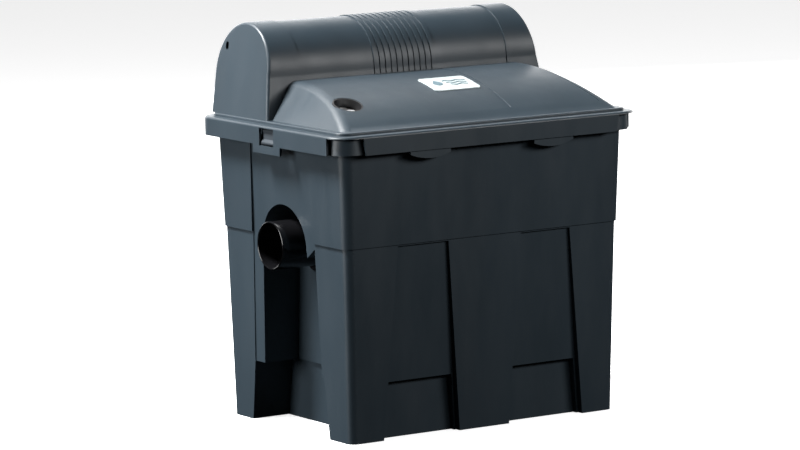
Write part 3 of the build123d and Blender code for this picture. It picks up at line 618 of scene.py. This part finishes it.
@dataclass
class FoamPack:
    """The five squeezable foam cartridges on the base grid."""

    count: int = 5
    edge: float = 0.003
    bands: int = 12
    crown: float = 0.0012

    def cartridge(self, name: str, material: bpy.types.Material) -> bpy.types.Object:
        """One solid block of foam with broken edges and slightly crowned faces.

        Args:
            name: the CAD node that it stands for.
            material: the foam.

        Returns:
            The finished block.
        """
        low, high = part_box(name)
        middle, size = (low + high) / 2, high - low
        mesh = bmesh.new()
        bmesh.ops.create_cube(mesh, size=1.0)
        bmesh.ops.scale(mesh, vec=size, verts=mesh.verts)
        bmesh.ops.translate(mesh, vec=middle, verts=mesh.verts)
        bmesh.ops.bevel(
            mesh,
            geom=mesh.edges[:],
            offset=self.edge,
            segments=3,
            profile=0.5,
            affect="EDGES",
            material=-1,
        )
        for step in range(1, self.bands):
            height = low.z + size.z * step / self.bands
            bmesh.ops.bisect_plane(
                mesh, geom=mesh.verts[:] + mesh.edges[:] + mesh.faces[:],
                plane_co=(0, 0, height), plane_no=(0, 0, 1),
            )
            depth = low.y + size.y * step / self.bands
            bmesh.ops.bisect_plane(
                mesh, geom=mesh.verts[:] + mesh.edges[:] + mesh.faces[:],
                plane_co=(0, depth, 0), plane_no=(0, 1, 0),
            )
        for vert in mesh.verts:
            across = (vert.co.x - middle.x) / (size.x / 2)
            along = 1 - ((vert.co.y - middle.y) / (size.y / 2)) ** 2
            up = 1 - ((vert.co.z - middle.z) / (size.z / 2)) ** 2
            vert.co.x -= across * self.crown * (1 - along * up)
        piece = new_piece(f"{name}_block", mesh, material)
        round_edges(piece, Rounding.NONE, weld=False)
        return piece

    def build(self, palette: Palette) -> None:
        """Makes and places every cartridge, coarse and fine in turn.

        Args:
            palette: the finishes.
        """
        for index in range(1, self.count + 1):
            finish = "coarse" if index % 2 else "fine"
            name = f"foam_{index}"
            block = self.cartridge(name, palette.get(finish))
            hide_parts(name)
            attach(block, "tub")
            LOG.info("made %s", block.name)


@dataclass
class BadgeMark:
    """A raised drop beside three ripples on the badge plate, in place of any lettering."""

    height: float = 0.0008
    sunk: float = 0.0002
    drop_radius: float = 0.0085
    drop_taper: float = 0.75
    drop_stretch: float = 1.5
    drop_place: tuple[float, float] = (-0.022, -0.001)
    ripples: int = 3
    ripple_reach: float = 0.021
    ripple_shorter: float = 0.003
    ripple_half_width: float = 0.0012
    ripple_place: tuple[float, float] = (0.013, 0.008)
    ripple_gap: float = 0.0085
    wave_height: float = 0.0016
    wave_rate: float = 300.0

    def build(self, plate: bpy.types.Object, palette: Palette) -> None:
        """Makes the mark and lays it on the plate's curved top.

        Args:
            plate: the badge plate.
            palette: the finishes.
        """
        low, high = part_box("badge_plate")
        centre = (low + high) / 2
        slope = math.atan2(high.z - low.z, high.y - low.y)
        mesh = bmesh.new()
        made = bmesh.ops.create_circle(mesh, cap_ends=True, radius=self.drop_radius, segments=40)
        for vert in made["verts"]:
            if vert.co.y > 0:
                vert.co.x *= 1 - vert.co.y / self.drop_radius * self.drop_taper
                vert.co.y *= self.drop_stretch
        bmesh.ops.translate(mesh, vec=(*self.drop_place, 0), verts=made["verts"])
        across, down = self.ripple_place
        for row in range(self.ripples):
            bar = bmesh.ops.create_grid(mesh, x_segments=24, y_segments=1, size=1.0)
            reach = self.ripple_reach - self.ripple_shorter * row
            bmesh.ops.scale(mesh, vec=(reach, self.ripple_half_width, 1), verts=bar["verts"])
            for vert in bar["verts"]:
                wave = self.wave_height * math.sin(vert.co.x * self.wave_rate)
                vert.co.y += wave + down - self.ripple_gap * row
            bmesh.ops.translate(mesh, vec=(across, 0, 0), verts=bar["verts"])
        raised = bmesh.ops.extrude_face_region(mesh, geom=mesh.faces[:])
        tops = [item for item in raised["geom"] if isinstance(item, bmesh.types.BMVert)]
        bmesh.ops.translate(mesh, vec=(0, 0, self.height), verts=tops)
        normal = Matrix.Rotation(slope, 4, "X") @ Vector((0, 0, 1))
        for vert in mesh.verts:
            east, north = centre.x + vert.co.x, centre.y + vert.co.y * normal.z
            start = Vector((east, north, high.z + self.height))
            _, point, _, _ = plate.ray_cast(start, Vector((0, 0, -1)))
            vert.co = point + normal * (vert.co.z - self.sunk)
        mark = new_piece("badge_mark", mesh, palette.get("print_blue"))
        round_edges(mark, Rounding.NONE, weld=False)
        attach(mark, "lid_body")
        LOG.info("made badge_mark")


# ---- studio ---------------------------------------------------------------------------------


Place = tuple[float, float, float]


@dataclass(frozen=True)
class SoftBox:
    """One rectangular light: its place, the point it faces, its size and its power in watts."""

    name: str
    place: Place
    aim: Place
    size: tuple[float, float]
    power: float

    def hang(self) -> None:
        """Hangs the light in the scene."""
        lamp = bpy.data.lights.new(self.name, "AREA")
        lamp.shape = "RECTANGLE"
        lamp.size, lamp.size_y = self.size
        lamp.energy = self.power
        holder = bpy.data.objects.new(self.name, lamp)
        holder.location = self.place
        direction = Vector(self.aim) - Vector(self.place)
        holder.rotation_euler = direction.to_track_quat("-Z", "Y").to_euler()
        bpy.context.scene.collection.objects.link(holder)


LIGHTS: tuple[SoftBox, ...] = (
    SoftBox("key_high", (-1.5, 0.9, 2.7), (-0.2, 0, 0.35), (0.8, 0.8), 250.0),
    SoftBox("side_left", (-3.0, 0.6, 0.9), (-0.2, 0, 0.3), (1.2, 1.4), 62),
    SoftBox("top_back", (0.3, 2.0, 2.6), (0, 0, 0.5), (3.0, 1.2), 22),
    SoftBox("backdrop", (1.4, 4.2, 1.4), (0, 0, 0.5), (6.5, 2.6), 200),
    SoftBox("front_fill", (2.6, -3.6, 2.1), (0, 0, 0.45), (1.6, 1.0), 66),
    SoftBox("front_wash", (0.4, -1.5, 0.9), (0, -0.2, 0.45), (1.0, 0.2), 4.5),
    SoftBox("right_fill", (3.2, 0.9, 1.3), (0.2, 0, 0.3), (1.6, 1.6), 45),
)


@dataclass
class Studio:
    """The floor, the lights and the sky that the filter is seen in."""

    floor_size: float = 30.0
    floor_gap: float = 0.0002
    sky_seen: float = 1.0
    sky_light: float = 0.01

    def floor(self) -> None:
        """Lays the pale floor."""
        mesh = bmesh.new()
        bmesh.ops.create_grid(mesh, x_segments=1, y_segments=1, size=self.floor_size)
        bmesh.ops.translate(mesh, vec=(0, 0, -self.floor_gap), verts=mesh.verts)
        floor = new_piece("floor", mesh, StudioPaint("studio_floor").build())
        floor.visible_diffuse = False
        floor.visible_glossy = False

    def sky(self) -> None:
        """White where it is seen, and dimmer as a light."""
        world = bpy.data.worlds.new("studio")
        bpy.context.scene.world = world
        world.use_nodes = True
        nodes, links = world.node_tree.nodes, world.node_tree.links
        background = nodes["Background"]
        path = nodes.new("ShaderNodeLightPath")
        level = nodes.new("ShaderNodeMapRange")
        level.inputs["To Min"].default_value = self.sky_light
        level.inputs["To Max"].default_value = self.sky_seen
        links.new(path.outputs["Is Camera Ray"], level.inputs["Value"])
        links.new(level.outputs["Result"], background.inputs["Strength"])
        background.inputs["Color"].default_value = (1.0, 1.0, 1.0, 1.0)

    def build(self) -> None:
        """Sets up the whole studio."""
        self.floor()
        self.sky()
        for light in LIGHTS:
            light.hang()
        bpy.context.scene.view_settings.view_transform = "Standard"


@dataclass
class Viewpoint:
    """The camera: where it stands, how it is turned and its lens."""

    place: Place = (-3.81815, -5.72819, 1.27043)
    azimuth: float = -33.42
    elevation: float = 8.06
    roll: float = -0.91
    lens: float = 200.5
    sensor: float = 36.0
    sight: float = 100.0

    def build(self) -> None:
        """Makes the scene's camera."""
        azimuth, elevation, roll = map(math.radians, (self.azimuth, self.elevation, self.roll))
        back = Vector((
            math.sin(azimuth) * math.cos(elevation),
            -math.cos(azimuth) * math.cos(elevation),
            math.sin(elevation),
        ))
        level = Vector((math.cos(azimuth), math.sin(azimuth), 0))
        upright = back.cross(level)
        right = level * math.cos(roll) + upright * math.sin(roll)
        up = upright * math.cos(roll) - level * math.sin(roll)
        data = bpy.data.cameras.new("camera")
        data.sensor_width = self.sensor
        data.lens = self.lens
        data.clip_end = self.sight
        camera = bpy.data.objects.new("camera", data)
        turn = Matrix((right, up, back)).transposed().to_4x4()
        camera.matrix_world = Matrix.Translation(self.place) @ turn
        bpy.context.scene.collection.objects.link(camera)
        bpy.context.scene.camera = camera


HOLDERS = tuple(f"foam_holder_{index}" for index in range(1, 6))

CARRIED: tuple[CadPieces, ...] = (
    CadPieces(("container",), "shell", Rounding.MOULDED),
    CadPieces(("lid",), "cover", Rounding.SMALL),
    CadPieces(("hump_cover",), "cover", Rounding.SMALL),
    CadPieces(("latch_left", "latch_right"), "snap", Rounding.FINE),
    CadPieces(("outlet_pipe",), "pipe", Rounding.SMALL),
    CadPieces(("sight_tube", "outlet_locknut"), "black", Rounding.FINE),
    CadPieces(("inlet_bulkhead", "inlet_locknut"), "black", Rounding.FINE),
    CadPieces(("hose_tail", "union_nut"), "black", Rounding.SMALL),
    CadPieces(("drain_spout", "drain_locknut", "drain_cap"), "black", Rounding.SMALL),
    CadPieces(("inlet_riser", "downpipe", "uvc_housing"), "black", Rounding.SMALL),
    CadPieces(("lock_ring", "ballast_head"), "black", Rounding.SMALL),
    CadPieces(("sleeve_holder", "cable_gland"), "black", Rounding.FINE),
    CadPieces(("partition", "base_grid", "distributor_tray"), "grey"),
    CadPieces(("uvc_carrier", "uvc_clamps"), "grey"),
    CadPieces(HOLDERS, "grey", Rounding.FINE),
    CadPieces(("lid_seal", "outlet_gasket", "inlet_gasket"), "rubber", Rounding.FINE),
    CadPieces(("inlet_washer", "drain_gasket"), "rubber", Rounding.FINE),
    CadPieces(("drain_cap_seal", "sleeve_seal"), "rubber", Rounding.FINE),
    CadPieces(("cover_screws", "latch_pins"), "steel", Rounding.FINE),
    CadPieces(("indicator_float",), "white", Rounding.FINE),
    CadPieces(("badge_plate",), "plate", Rounding.FINE),
    CadPieces(("quartz_sleeve",), "quartz", Rounding.NONE),
    CadPieces(("uvc_lamp",), "lamp", Rounding.NONE),
    CadPieces(("lamp_socket",), "ceramic", Rounding.FINE),
    CadPieces(("ballast_board",), "board", Rounding.NONE),
)


def main() -> None:
    """Builds the filter and its studio in order."""
    logging.basicConfig(level=logging.INFO, format="%(name)s: %(message)s")
    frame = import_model()
    Viewpoint().build()
    palette = Palette()
    for group in CARRIED:
        group.dress(frame, palette)
    FoamPack().build(palette)
    BadgeMark().build(frame["nodes"]["badge_plate"], palette)
    Studio().build()


if __name__ == "__main__":
    main()
